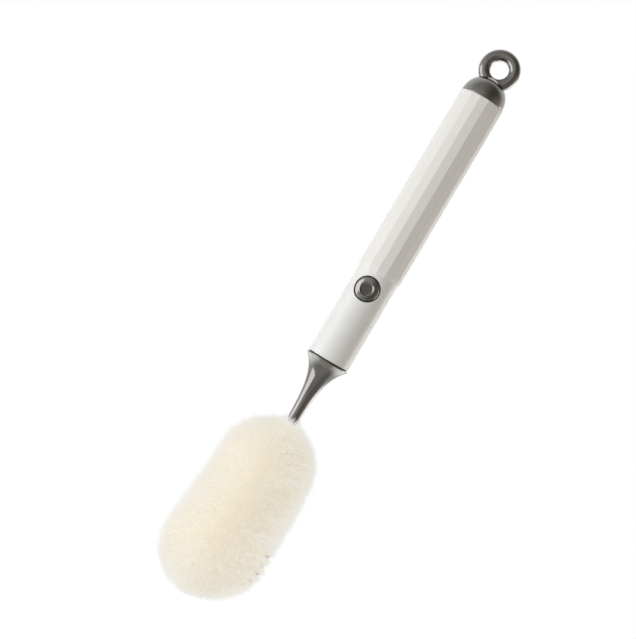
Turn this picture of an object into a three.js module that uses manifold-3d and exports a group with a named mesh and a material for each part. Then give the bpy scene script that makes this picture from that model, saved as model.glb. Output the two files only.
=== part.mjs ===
// A long-handled cup brush with a pull-off bristle head, a push-button latch and a hang ring.
// Millimetres, +Z up, hung by its ring: the origin is the centre of the ring's hole.
// Heights below are measured up the handle from its lower end, which is height 0.

import * as THREE from 'three';
import { mergeVertices } from 'three/addons/utils/BufferGeometryUtils.js';
import Module from 'manifold-3d';

const wasm = await Module();
wasm.setup();

// Handle
const HANDLE_LENGTH = 150.6;
const HANDLE_BORE_RADIUS = 9.1;
const BARREL_LENGTH = 49.9;
const BARREL_RADIUS = 11.1;
const BARREL_EDGE = 0.35;
const GRIP_SIDES = 16;
const GRIP_CORNER_RADIUS = 11.9;
const GRIP_RUN_OUT = 4;
const SHOULDER_STEP = 0.6;

// End cap, its seal, the hang ring and its screw
const CAP_RADIUS = 11.6;
const CAP_HEIGHT = 12.1;
const CAP_BAND = 0.9;
const CAP_FULLNESS = 2.05;
const CAP_SPIGOT_LENGTH = 12;
const CAP_SPIGOT_WALL = 2.7;
const CAP_CROWN = 2.4;
const SEAL_SECTION_RADIUS = 0.65;
const SEAL_DEPTH = 3;
const RING_OUTER_RADIUS = 10.55;
const RING_HOLE_RADIUS = 4.6;
const RING_SINK = 5.1;
const RING_BOSS_RADIUS = 2;
const SCREW_RADIUS = 1.1;
const SCREW_GRIP_LENGTH = 5;
const SCREW_HEAD_RADIUS = 3.2;
const SCREW_HEAD_CROWN_RADIUS = 2.3;
const SCREW_HEAD_HEIGHT = 1.6;
const SCREW_SLOT_WIDTH = 0.6;
const SCREW_SLOT_LENGTH = 3.4;

// Push button
const BUTTON_HEIGHT = 40.1;
const BUTTON_RADIUS = 6.15;
const BUTTON_GAP = 0.4;
const BUTTON_PROUD = 0.5;
const BUTTON_EDGE = 0.6;
const BUTTON_CROWN = 0.25;
const BUTTON_TRAVEL = 1.6;
const DISH_RIM_RADIUS = 3.7;
const DISH_FLOOR_RADIUS = 2.6;
const DISH_DEPTH = 1;
const PLUNGER_DISC = 0.9;
const PLUNGER_PEG_RADIUS = 1.9;
const PLUNGER_PEG_LENGTH = 0.9;
const LOBE_REACH = 1.9;
const LOBE_HALF_WIDTH = 4.2;
const WEDGE_HALF_HEIGHT = 1.4;
const WEDGE_SLOPE = 0.55;
const WEDGE_LEAD = 1;

// Latch clip, plug and socket sleeve
const PLUG_RADIUS = 4.5;
const PLUG_REACH = 11.2;
const PLUG_NOSE_RADIUS = 2.4;
const PLUG_NOSE_LENGTH = 5.5;
const PLUG_FLANGE_RADIUS = 7;
const PLUG_FLANGE_THICKNESS = 2.4;
const GROOVE_DEPTH = 0.75;
const GROOVE_WIDTH = 1.8;
const KEY_REACH = 1.9;
const KEY_WIDTH = 2.6;
const KEY_HEIGHT = 6;
const CLIP_WIRE_RADIUS = 0.6;
const CLIP_TIP_DISTANCE = 5.9;
const SLEEVE_WALL = 1.8;
const SLEEVE_WINDOW_SKIN = 0.6;
const SLEEVE_PLATE = 1.4;
const SLEEVE_MOUTH_PLATE = 3;
const SLEEVE_TOP_PLATE = 2;
const SLEEVE_RIB = 1.2;
const SLEEVE_NOSE_ROOM = 4;
const SNAP_BEAD = 0.4;
const SNAP_BEAD_WIDTH = 1.2;

// Neck, gasket, wire and bristles
const JOINT_GAP = 0.65;
const GASKET_THICKNESS = 0.5;
const GASKET_INSET = 0.35;
const NECK_RIM_RADIUS = 11.6;
const NECK_RIM_BAND = 0.45;
const NECK_LENGTH = 34.6;
const STEM_RADIUS = 2.9;
const STEM_SINK = 3;
const FLARE_LENGTH = 8.8;
const WIRE_RADIUS = 0.9;
const WIRE_TWIST = 10;
const WIRE_WRAP = 5 / 6;
const WIRE_IN_PLUG = 12;
const WIRE_TIP_COVER = 10;
const HEAD_LENGTH = 101.2;
const HEAD_TOP_RADIUS = 26.2;
const HEAD_TIP_RADIUS = 28.3;
const HEAD_DOME_LENGTH = 28;
const HEAD_LEAN = 3.6;
const HEAD_LEAN_POWER = 3;
const ROW_PITCH = 5;
const ROW_STARTS = 2;
const ROW_DEPTH = 1.2;

// Clearances
const FIT_GAP = 0.2;
const SEAT_GAP = 0.1;
const RUNNING_GAP = 0.3;

// How far a cutting shape runs past the piece that it cuts
const CUT_OVER = 1;

// Smoothness of round faces
const ROUND_SIDES = 32;
const SMALL_SIDES = 18;
const CURVE_STEPS = 10;
const EDGE_STEPS = 4;
const SEAL_SIDES = 8;
const RING_SIDES = 12;
const CLIP_STEPS = 26;
const CLIP_ARC_STEPS = 4;
const WIRE_ARC_STEPS = 2;
const WIRE_TURN_STEPS = 5;
const FLARE_STEPS = 14;
const FLARE_CROWDING = 1.6;
const ROW_STEPS = 3;
const HEAD_SIDES = 22;

// Heights and distances that several pieces share
const ringTubeRadius = (RING_OUTER_RADIUS - RING_HOLE_RADIUS) / 2;
const ringLineRadius = RING_HOLE_RADIUS + ringTubeRadius;
const capRim = HANDLE_LENGTH + SEAT_GAP;
const capTop = capRim + CAP_HEIGHT;
const ringSeat = capTop - RING_SINK;
const ringCentre = ringSeat + RING_OUTER_RADIUS;
const capCeiling = ringSeat - CAP_CROWN;
const spigotRadius = HANDLE_BORE_RADIUS - FIT_GAP;
const spigotBottom = HANDLE_LENGTH - CAP_SPIGOT_LENGTH;
const sealHeight = HANDLE_LENGTH - SEAL_DEPTH;
const snapHeight = (spigotBottom + sealHeight) / 2;
const plugTop = BUTTON_HEIGHT + PLUG_REACH;
const grooveRadius = PLUG_RADIUS - GROOVE_DEPTH;
const keyRadius = PLUG_RADIUS + KEY_REACH;
const keyCornerRadius = Math.hypot(keyRadius, KEY_WIDTH / 2);
const sleeveBore = PLUG_RADIUS + FIT_GAP;
const sleeveRadius = sleeveBore + SLEEVE_WALL;
const sleevePlateRadius = HANDLE_BORE_RADIUS - FIT_GAP;
const sleeveCeiling = plugTop + SLEEVE_NOSE_ROOM;
const sleeveTop = sleeveCeiling + SLEEVE_TOP_PLATE;
const mouthSnapHeight = RUNNING_GAP + SLEEVE_MOUTH_PLATE / 2;
const clipLegOffset = grooveRadius + SEAT_GAP + CLIP_WIRE_RADIUS;
const clipBendCentre = HANDLE_BORE_RADIUS - RUNNING_GAP - CLIP_WIRE_RADIUS - clipLegOffset;
const buttonHoleRadius = BUTTON_RADIUS + BUTTON_GAP;
const lobeEnd = buttonHoleRadius + LOBE_REACH;
const lobeFace = HANDLE_BORE_RADIUS - RUNNING_GAP;
const windowFloor = sleeveBore + SLEEVE_WINDOW_SKIN;
const lobeUnderside = windowFloor + BUTTON_TRAVEL + FIT_GAP;
const wedgeNose = CLIP_TIP_DISTANCE - WEDGE_LEAD;
const discTop = lobeFace;
const discFoot = discTop - PLUNGER_DISC;
const neckTop = -JOINT_GAP;
const headTop = neckTop - NECK_LENGTH;
const headTip = headTop - HEAD_LENGTH;
const stemEnd = headTop - STEM_SINK;
const wireReach = 2 * WIRE_RADIUS;
const wireTop = neckTop + WIRE_IN_PLUG;
const wireTip = headTip + WIRE_TIP_COVER;

const WHITE_PLASTIC = { color: 0xe9e7e2, roughness: 0.42, metalness: 0 };
const GUNMETAL_PLATING = { color: 0x5b5957, roughness: 0.2, metalness: 0.9 };
const INNER_PLASTIC = { color: 0x8d8f92, roughness: 0.6, metalness: 0 };
const BLACK_RUBBER = { color: 0x161616, roughness: 0.8, metalness: 0 };
const SPRING_STEEL = { color: 0xb9bcc0, roughness: 0.3, metalness: 1 };
const CREAM_BRISTLE = { color: 0xefe5cf, roughness: 0.9, metalness: 0 };

// Solids from geometry

function facesOut(positions, triangles) {
  const corner = (index) => new THREE.Vector3().fromArray(positions, 3 * index);
  let volume = 0;
  for (let i = 0; i < triangles.length; i += 3) {
    const [a, b, c] = [0, 1, 2].map((k) => corner(triangles[i + k]));
    volume += a.dot(b.cross(c));
  }
  return volume > 0;
}

function solid(geometry) {
  geometry.deleteAttribute('normal');
  geometry.deleteAttribute('uv');
  const welded = mergeVertices(geometry);
  const positions = welded.attributes.position.array;
  const triangles = [];
  for (let i = 0; i < welded.index.count; i += 3) {
    const [a, b, c] = welded.index.array.slice(i, i + 3);
    if (a !== b && b !== c && c !== a) {
      triangles.push(a, b, c);
    }
  }
  if (!facesOut(positions, triangles)) {
    triangles.reverse();
  }
  return new wasm.Manifold(new wasm.Mesh({
    numProp: 3,
    vertProperties: new Float32Array(positions),
    triVerts: new Uint32Array(triangles),
  }));
}

function geometryOf(body) {
  const mesh = body.getMesh();
  const geometry = new THREE.BufferGeometry();
  geometry.setAttribute('position', new THREE.BufferAttribute(mesh.vertProperties, 3));
  geometry.setIndex(new THREE.BufferAttribute(mesh.triVerts, 1));
  geometry.computeVertexNormals();
  return geometry;
}

function piece(name, body, finish) {
  const mesh = new THREE.Mesh(geometryOf(body), new THREE.MeshStandardMaterial(finish));
  mesh.name = name;
  return mesh;
}

// A half outline of [radius, height] points turned about the Z axis.
function turnedGeometry(outline, sides = ROUND_SIDES, phase = 0) {
  const points = outline.map(([radius, height]) => new THREE.Vector2(radius, height));
  return new THREE.LatheGeometry(points, sides, phase).rotateX(Math.PI / 2);
}

function turned(outline, sides, phase) {
  return solid(turnedGeometry(outline, sides, phase));
}

function rod(radius, low, high, sides) {
  return turned([[0, low], [radius, low], [radius, high], [0, high]], sides);
}

function tube(inner, outer, low, high, sides) {
  return turned([[inner, low], [outer, low], [outer, high], [inner, high], [inner, low]], sides);
}

// A disc with its edge raised to a low ridge, for a bead or the groove that it snaps into.
function beadedDisc(radius, rise, halfWidth, height) {
  return turned([
    [0, height - halfWidth],
    [radius, height - halfWidth],
    [radius + rise, height],
    [radius, height + halfWidth],
    [0, height + halfWidth],
  ]);
}

function block([x0, x1], [y0, y1], [z0, z1]) {
  const box = new THREE.BoxGeometry(x1 - x0, y1 - y0, z1 - z0);
  return solid(box.translate((x0 + x1) / 2, (y0 + y1) / 2, (z0 + z1) / 2));
}

function torus(lineRadius, tubeRadius, tubeSides) {
  return new THREE.TorusGeometry(lineRadius, tubeRadius, tubeSides, ROUND_SIDES);
}

// Handle: a round barrel that runs into a grip with flat lengthwise faces, one corner in line
// with the button, and a stepped bore with a snap groove at each end.

function handleShell() {
  const barrel = turned([
    [0, 0],
    [BARREL_RADIUS - BARREL_EDGE, 0],
    [BARREL_RADIUS, BARREL_EDGE],
    [BARREL_RADIUS, BARREL_LENGTH],
    [0, BARREL_LENGTH],
  ]);
  const gripFoot = BARREL_LENGTH - GRIP_RUN_OUT / 2;
  const grip = turned([
    [0, gripFoot],
    [BARREL_RADIUS, gripFoot],
    [GRIP_CORNER_RADIUS, gripFoot + GRIP_RUN_OUT],
    [GRIP_CORNER_RADIUS, HANDLE_LENGTH],
    [0, HANDLE_LENGTH],
  ], GRIP_SIDES);
  const shoulder = sleeveTop + RUNNING_GAP;
  const upperStep = spigotBottom - RUNNING_GAP;
  const narrowRadius = HANDLE_BORE_RADIUS - SHOULDER_STEP;
  const bore = turned([
    [0, -CUT_OVER],
    [HANDLE_BORE_RADIUS, -CUT_OVER],
    [HANDLE_BORE_RADIUS, shoulder],
    [narrowRadius, shoulder],
    [narrowRadius, upperStep],
    [HANDLE_BORE_RADIUS, upperStep],
    [HANDLE_BORE_RADIUS, HANDLE_LENGTH + CUT_OVER],
    [0, HANDLE_LENGTH + CUT_OVER],
  ]);
  const buttonHole = solid(
    turnedGeometry([
      [0, 0],
      [buttonHoleRadius, 0],
      [buttonHoleRadius, GRIP_CORNER_RADIUS + CUT_OVER],
      [0, GRIP_CORNER_RADIUS + CUT_OVER],
    ]).rotateX(Math.PI / 2).translate(0, 0, BUTTON_HEIGHT),
  );
  return barrel.add(grip)
    .subtract(bore)
    .subtract(snapGroove(mouthSnapHeight))
    .subtract(snapGroove(snapHeight))
    .subtract(buttonHole);
}

function snapGroove(height) {
  return beadedDisc(HANDLE_BORE_RADIUS, SNAP_BEAD, SNAP_BEAD_WIDTH / 2 + FIT_GAP, height);
}

function snapBead(height) {
  return beadedDisc(HANDLE_BORE_RADIUS - FIT_GAP, SNAP_BEAD, SNAP_BEAD_WIDTH / 2, height);
}

// End cap: a full dome on a short band, hollow below, with a spigot that carries the seal and a
// snap bead, and a saddle in its crown for the ring.

function endCap() {
  const domeHeight = CAP_HEIGHT - CAP_BAND;
  const dome = [];
  for (let i = 0; i <= CURVE_STEPS; i += 1) {
    const angle = (i / CURVE_STEPS) * (Math.PI / 2);
    dome.push([
      CAP_RADIUS * Math.cos(angle) ** (2 / CAP_FULLNESS),
      capRim + CAP_BAND + domeHeight * Math.sin(angle) ** (2 / CAP_FULLNESS),
    ]);
  }
  dome[CURVE_STEPS][0] = 0;
  const hollowRadius = spigotRadius - CAP_SPIGOT_WALL;
  const body = turned([
    [0, capCeiling],
    [hollowRadius, capCeiling],
    [hollowRadius, spigotBottom],
    [spigotRadius - BARREL_EDGE, spigotBottom],
    [spigotRadius, spigotBottom + BARREL_EDGE],
    [spigotRadius, capRim],
    [CAP_RADIUS, capRim],
    ...dome,
  ]);
  const sealGroove = tube(
    sealLineRadius() - SEAL_SECTION_RADIUS - SEAT_GAP,
    HANDLE_BORE_RADIUS,
    sealHeight - SEAL_SECTION_RADIUS - SEAT_GAP,
    sealHeight + SEAL_SECTION_RADIUS + SEAT_GAP,
  );
  const hollow = rod(hollowRadius, spigotBottom, capCeiling);
  const bead = snapBead(snapHeight).subtract(hollow);
  const saddle = solid(ringTorus(ringTubeRadius + SEAT_GAP));
  const bossHole = rod(RING_BOSS_RADIUS + SEAT_GAP, capCeiling - FIT_GAP, capTop, SMALL_SIDES);
  return body.add(bead).subtract(sealGroove).subtract(saddle).subtract(bossHole);
}

function sealLineRadius() {
  return HANDLE_BORE_RADIUS - SEAT_GAP - SEAL_SECTION_RADIUS;
}

function capSeal() {
  const ring = torus(sealLineRadius(), SEAL_SECTION_RADIUS, SEAL_SIDES);
  return solid(ring.translate(0, 0, sealHeight));
}

// Hang ring: a round loop facing the same way as the button, with a boss for its screw.

function ringTorus(tubeRadius) {
  const loop = torus(ringLineRadius, tubeRadius, RING_SIDES);
  return loop.rotateX(Math.PI / 2).translate(0, 0, ringCentre);
}

function hangRing() {
  const bossBottom = capCeiling + RUNNING_GAP;
  const boss = rod(RING_BOSS_RADIUS, bossBottom, ringSeat + ringTubeRadius, SMALL_SIDES);
  const pilotTop = capCeiling + SCREW_GRIP_LENGTH + RUNNING_GAP;
  const pilotRadius = SCREW_RADIUS + SEAT_GAP;
  const pilot = rod(pilotRadius, bossBottom - RUNNING_GAP, pilotTop, SMALL_SIDES);
  return solid(ringTorus(ringTubeRadius)).add(boss).subtract(pilot);
}

function ringScrew() {
  const headTopFace = capCeiling - SEAT_GAP;
  const headFoot = headTopFace - SCREW_HEAD_HEIGHT;
  const tip = capCeiling + SCREW_GRIP_LENGTH;
  const body = turned([
    [0, headFoot],
    [SCREW_HEAD_CROWN_RADIUS, headFoot],
    [SCREW_HEAD_RADIUS, headFoot + SCREW_HEAD_HEIGHT / 2],
    [SCREW_HEAD_RADIUS, headTopFace],
    [SCREW_RADIUS, headTopFace],
    [SCREW_RADIUS, tip - SCREW_RADIUS],
    [0, tip],
  ], SMALL_SIDES);
  const slotHalf = SCREW_SLOT_WIDTH / 2;
  const slotReach = SCREW_SLOT_LENGTH / 2;
  const slotDepth = [headFoot - CUT_OVER, headFoot + SCREW_HEAD_HEIGHT / 2];
  const slotX = block([-slotReach, slotReach], [-slotHalf, slotHalf], slotDepth);
  const slotY = block([-slotHalf, slotHalf], [-slotReach, slotReach], slotDepth);
  return body.subtract(slotX).subtract(slotY);
}

// Socket sleeve: a blind tube with ring plates and ribs. A window in front lets the plunger in,
// side slots let the clip's legs reach the plug, and key slots at the mouth stop the head turning.

function socketSleeve() {
  const mouth = RUNNING_GAP;
  let sleeve = rod(sleeveRadius, mouth, sleeveTop);
  const plateHeights = [
    [mouth, mouth + SLEEVE_MOUTH_PLATE],
    [BUTTON_HEIGHT / 2, BUTTON_HEIGHT / 2 + SLEEVE_PLATE],
    [sleeveTop - SLEEVE_TOP_PLATE, sleeveTop],
  ];
  const clipRoom = CLIP_WIRE_RADIUS + RUNNING_GAP;
  for (const side of [-1, 1]) {
    const near = BUTTON_HEIGHT + side * clipRoom;
    const far = near + side * SLEEVE_PLATE;
    plateHeights.push([Math.min(near, far), Math.max(near, far)]);
  }
  for (const [low, high] of plateHeights) {
    sleeve = sleeve.add(rod(sleevePlateRadius, low, high));
  }
  sleeve = sleeve.add(snapBead(mouthSnapHeight));
  const ribHalf = SLEEVE_RIB / 2;
  const ribHeights = [mouth, sleeveTop];
  const sideRibs = block([-sleevePlateRadius, sleevePlateRadius], [-ribHalf, ribHalf], ribHeights);
  const backRib = block([-ribHalf, ribHalf], [0, sleevePlateRadius], ribHeights);
  const plateCylinder = rod(sleevePlateRadius, mouth, sleeveTop);
  sleeve = sleeve.add(sideRibs.add(backRib).intersect(plateCylinder));

  const beyond = HANDLE_BORE_RADIUS + CUT_OVER;
  const windowHalf = buttonHoleRadius;
  const windowReach = lobeEnd + RUNNING_GAP;
  const buttonWindow = block(
    [-windowHalf, windowHalf],
    [-beyond, -windowFloor],
    [BUTTON_HEIGHT - windowReach, BUTTON_HEIGHT + windowReach],
  );
  const wedgeReach = WEDGE_HALF_HEIGHT + RUNNING_GAP;
  const wedgeWindow = block(
    [-windowHalf, windowHalf],
    [-beyond, -(wedgeNose - BUTTON_TRAVEL - RUNNING_GAP)],
    [BUTTON_HEIGHT - wedgeReach, BUTTON_HEIGHT + wedgeReach],
  );
  const passage = block(
    [-windowHalf, windowHalf],
    [-beyond, -lobeUnderside + RUNNING_GAP],
    [BUTTON_HEIGHT, sleeveTop + CUT_OVER],
  );
  const legInner = clipLegOffset - CLIP_WIRE_RADIUS - FIT_GAP;
  const insideClip = new THREE.Shape();
  insideClip.moveTo(-legInner, 0);
  insideClip.lineTo(legInner, 0);
  insideClip.absarc(0, clipBendCentre, legInner, 0, Math.PI);
  const core = new THREE.ExtrudeGeometry(insideClip, {
    depth: 2 * clipRoom + 2 * CUT_OVER,
    curveSegments: CURVE_STEPS,
    bevelEnabled: false,
  });
  const clipLayer = rod(beyond, BUTTON_HEIGHT - clipRoom, BUTTON_HEIGHT + clipRoom);
  const clipSlot = clipLayer.subtract(
    solid(core.translate(0, 0, BUTTON_HEIGHT - clipRoom - CUT_OVER)),
  );
  const keyHalf = KEY_WIDTH / 2 + FIT_GAP;
  const keyTop = neckTop + KEY_HEIGHT + RUNNING_GAP;
  const keyReach = keyRadius + FIT_GAP;
  return sleeve
    .subtract(rod(sleeveBore, 0, sleeveCeiling))
    .subtract(buttonWindow)
    .subtract(wedgeWindow)
    .subtract(passage)
    .subtract(clipSlot)
    .subtract(block([-keyReach, keyReach], [-keyHalf, keyHalf], [0, keyTop]));
}

// Latch clip: round spring wire bent to a U, its bend behind the sleeve, its legs beside the plug.

class ClipLine extends THREE.Curve {
  getPoint(share) {
    const leg = clipBendCentre + CLIP_TIP_DISTANCE;
    const bend = Math.PI * clipLegOffset;
    const along = share * (2 * leg + bend);
    if (along < leg) {
      return new THREE.Vector3(-clipLegOffset, along - CLIP_TIP_DISTANCE, 0);
    }
    if (along > leg + bend) {
      return new THREE.Vector3(clipLegOffset, clipBendCentre - (along - leg - bend), 0);
    }
    const angle = Math.PI - (along - leg) / clipLegOffset;
    const x = clipLegOffset * Math.cos(angle);
    return new THREE.Vector3(x, clipBendCentre + clipLegOffset * Math.sin(angle), 0);
  }
}

function latchClip() {
  const section = new THREE.Shape();
  section.absarc(0, 0, CLIP_WIRE_RADIUS, 0, 2 * Math.PI);
  const wire = new THREE.ExtrudeGeometry(section, {
    steps: CLIP_STEPS,
    curveSegments: CLIP_ARC_STEPS,
    extrudePath: new ClipLine(),
  });
  return solid(wire);
}

// Button, in its own frame: X across the handle, Y up the handle, Z out through the hole.

// A closed solid of nested rings about the Z axis, each with a radius and a height that may
// change around the ring. The first and last rings are capped by a point at their middle.
function ringed(rings, sides) {
  const vertices = [];
  const triangles = [];
  for (const { radius, height } of rings) {
    for (let k = 0; k < sides; k += 1) {
      const angle = (2 * Math.PI * k) / sides;
      const x = radius * Math.cos(angle);
      vertices.push(x, radius * Math.sin(angle), height(x));
    }
  }
  for (let ring = 0; ring + 1 < rings.length; ring += 1) {
    for (let k = 0; k < sides; k += 1) {
      const here = ring * sides + k;
      const next = ring * sides + ((k + 1) % sides);
      triangles.push(here, next, here + sides, next, next + sides, here + sides);
    }
  }
  const ends = [[0, true], [rings.length - 1, false]];
  for (const [ring, first] of ends) {
    const middle = vertices.length / 3;
    vertices.push(0, 0, rings[ring].height(0));
    for (let k = 0; k < sides; k += 1) {
      const here = ring * sides + k;
      const next = ring * sides + ((k + 1) % sides);
      triangles.push(middle, first ? next : here, first ? here : next);
    }
  }
  const geometry = new THREE.BufferGeometry();
  geometry.setAttribute('position', new THREE.Float32BufferAttribute(vertices, 3));
  geometry.setIndex(triangles);
  return solid(geometry);
}

function buttonCap() {
  const faceRadius = BARREL_RADIUS + BUTTON_PROUD;
  const underside = discTop + SEAT_GAP;
  const crown = (radius) => BUTTON_CROWN * (radius / BUTTON_RADIUS) ** 2;
  const face = (radius, drop = 0) => (x) => Math.sqrt(faceRadius ** 2 - x ** 2) - crown(radius) - drop;
  const flat = (level) => () => level;
  const dishFloor = faceRadius - DISH_DEPTH;
  const midway = (DISH_RIM_RADIUS + BUTTON_RADIUS) / 2;
  const rings = [
    { radius: DISH_FLOOR_RADIUS, height: flat(dishFloor) },
    { radius: DISH_RIM_RADIUS, height: face(DISH_RIM_RADIUS) },
    { radius: midway, height: face(midway) },
  ];
  for (let i = 0; i <= EDGE_STEPS; i += 1) {
    const angle = (i / EDGE_STEPS) * (Math.PI / 2);
    const radius = BUTTON_RADIUS - BUTTON_EDGE * (1 - Math.sin(angle));
    rings.push({ radius, height: face(radius, BUTTON_EDGE * (1 - Math.cos(angle))) });
  }
  rings.push({ radius: BUTTON_RADIUS, height: flat(underside) });
  const pegRoom = PLUNGER_PEG_RADIUS + SEAT_GAP;
  const pegTop = discTop + PLUNGER_PEG_LENGTH + SEAT_GAP;
  return ringed(rings, ROUND_SIDES).subtract(rod(pegRoom, underside - CUT_OVER, pegTop, SMALL_SIDES));
}

function buttonPlunger() {
  const disc = rod(BUTTON_RADIUS, discFoot, discTop);
  const peg = rod(PLUNGER_PEG_RADIUS, discFoot, discTop + PLUNGER_PEG_LENGTH, SMALL_SIDES);
  const boreFace = solid(
    turnedGeometry([[0, -lobeEnd], [lobeFace, -lobeEnd], [lobeFace, lobeEnd], [0, lobeEnd]])
      .rotateX(Math.PI / 2),
  );
  const lobeStart = WEDGE_HALF_HEIGHT + CLIP_WIRE_RADIUS;
  let lobes = disc.add(peg);
  for (const side of [-1, 1]) {
    const span = [side * lobeStart, side * lobeEnd].sort((a, b) => a - b);
    const lobe = block([-LOBE_HALF_WIDTH, LOBE_HALF_WIDTH], span, [lobeUnderside, lobeFace]);
    lobes = lobes.add(lobe.intersect(boreFace));
  }

  const legFace = clipLegOffset - CLIP_WIRE_RADIUS - SEAT_GAP;
  const wedgeBase = discFoot + PLUNGER_DISC / 2;
  const halfWidth = (distance) => legFace + WEDGE_SLOPE * (distance - CLIP_TIP_DISTANCE);
  const outline = new THREE.Shape([
    new THREE.Vector2(-halfWidth(wedgeNose), wedgeNose),
    new THREE.Vector2(halfWidth(wedgeNose), wedgeNose),
    new THREE.Vector2(halfWidth(wedgeBase), wedgeBase),
    new THREE.Vector2(-halfWidth(wedgeBase), wedgeBase),
  ]);
  const wedge = solid(
    new THREE.ExtrudeGeometry(outline, { depth: 2 * WEDGE_HALF_HEIGHT, bevelEnabled: false })
      .translate(0, 0, -WEDGE_HALF_HEIGHT)
      .rotateX(Math.PI / 2),
  );
  const reliefRadius = PLUG_RADIUS + RUNNING_GAP;
  const relief = solid(
    turnedGeometry([[0, -lobeEnd], [reliefRadius, -lobeEnd], [reliefRadius, lobeEnd], [0, lobeEnd]])
      .rotateX(Math.PI / 2)
      .translate(0, 0, BUTTON_TRAVEL),
  );
  return lobes.add(wedge.subtract(relief));
}

// Head: plug, gasket, trumpet neck, twisted wire and bristles.

function headPlug() {
  const flangeTop = neckTop;
  const flangeFoot = flangeTop - PLUG_FLANGE_THICKNESS;
  const grooveLow = BUTTON_HEIGHT - GROOVE_WIDTH / 2;
  const grooveHigh = BUTTON_HEIGHT + GROOVE_WIDTH / 2;
  const body = turned([
    [0, flangeFoot],
    [PLUG_FLANGE_RADIUS, flangeFoot],
    [PLUG_FLANGE_RADIUS, flangeTop],
    [PLUG_RADIUS, flangeTop],
    [PLUG_RADIUS, grooveLow],
    [grooveRadius, grooveLow],
    [grooveRadius, grooveHigh],
    [PLUG_RADIUS, grooveHigh],
    [PLUG_RADIUS, plugTop - PLUG_NOSE_LENGTH],
    [PLUG_NOSE_RADIUS, plugTop],
    [0, plugTop],
  ]);
  const keyHalf = KEY_WIDTH / 2;
  const keyHeights = [flangeTop - PLUG_FLANGE_THICKNESS / 2, flangeTop + KEY_HEIGHT];
  const keys = block([-keyRadius, keyRadius], [-keyHalf, keyHalf], keyHeights);
  const wireHole = rod(wireReach + FIT_GAP, flangeFoot - CUT_OVER, wireTop + FIT_GAP, SMALL_SIDES);
  return body.add(keys).subtract(wireHole);
}

function jointSeal() {
  const foot = neckTop + SEAT_GAP;
  const inner = keyCornerRadius + FIT_GAP;
  return tube(inner, BARREL_RADIUS - GASKET_INSET, foot, foot + GASKET_THICKNESS);
}

// The neck's outside narrows exponentially, as a trumpet's bell does, from its rim to the stem.
function neck() {
  const outline = [[NECK_RIM_RADIUS, neckTop]];
  const flareTop = neckTop - NECK_RIM_BAND;
  const flareSpan = flareTop - stemEnd;
  for (let i = 0; i <= FLARE_STEPS; i += 1) {
    const depth = flareSpan * (i / FLARE_STEPS) ** FLARE_CROWDING;
    const spread = (NECK_RIM_RADIUS - STEM_RADIUS) * Math.exp(-depth / FLARE_LENGTH);
    outline.push([STEM_RADIUS + spread, flareTop - depth]);
  }
  const wireHole = wireReach + FIT_GAP;
  const recess = PLUG_FLANGE_RADIUS + SEAT_GAP;
  const recessFloor = neckTop - PLUG_FLANGE_THICKNESS - SEAT_GAP;
  outline.push(
    [wireHole, stemEnd],
    [wireHole, recessFloor],
    [recess, recessFloor],
    [recess, neckTop],
    [NECK_RIM_RADIUS, neckTop],
  );
  return turned(outline);
}

// Two strands of one folded wire, twisted together. Each strand's arc stops short of the other
// strand, so the two are pressed together along a narrow web.
function wireCore() {
  const section = new THREE.Shape();
  const wrap = WIRE_WRAP * Math.PI;
  section.absarc(WIRE_RADIUS, 0, WIRE_RADIUS, -wrap, wrap);
  section.absarc(-WIRE_RADIUS, 0, WIRE_RADIUS, Math.PI - wrap, Math.PI + wrap);
  const length = wireTop - wireTip;
  const wire = new THREE.ExtrudeGeometry(section, {
    depth: length,
    steps: Math.round((WIRE_TURN_STEPS * length) / WIRE_TWIST),
    curveSegments: WIRE_ARC_STEPS,
    bevelEnabled: false,
  });
  const points = wire.attributes.position;
  for (let i = 0; i < points.count; i += 1) {
    const at = new THREE.Vector3().fromBufferAttribute(points, i);
    at.applyAxisAngle(new THREE.Vector3(0, 0, 1), (2 * Math.PI * at.z) / WIRE_TWIST);
    points.setXYZ(i, at.x, at.y, at.z + wireTip);
  }
  return solid(wire);
}

// Radius of the bristle body at a distance below its top: two half-ellipse ends on a slight taper.
function headRadius(depth) {
  const middle = THREE.MathUtils.clamp(depth, HEAD_DOME_LENGTH, HEAD_LENGTH - HEAD_DOME_LENGTH);
  const taper = (middle - HEAD_DOME_LENGTH) / (HEAD_LENGTH - 2 * HEAD_DOME_LENGTH);
  const widest = THREE.MathUtils.lerp(HEAD_TOP_RADIUS, HEAD_TIP_RADIUS, taper);
  const past = Math.abs(depth - middle) / HEAD_DOME_LENGTH;
  return widest * Math.sqrt(Math.max(0, 1 - past ** 2));
}

// How far the soft head hangs over to one side at a distance below its top.
function headLean(depth) {
  return HEAD_LEAN * (Math.max(0, depth) / HEAD_LENGTH) ** HEAD_LEAN_POWER;
}

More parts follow.
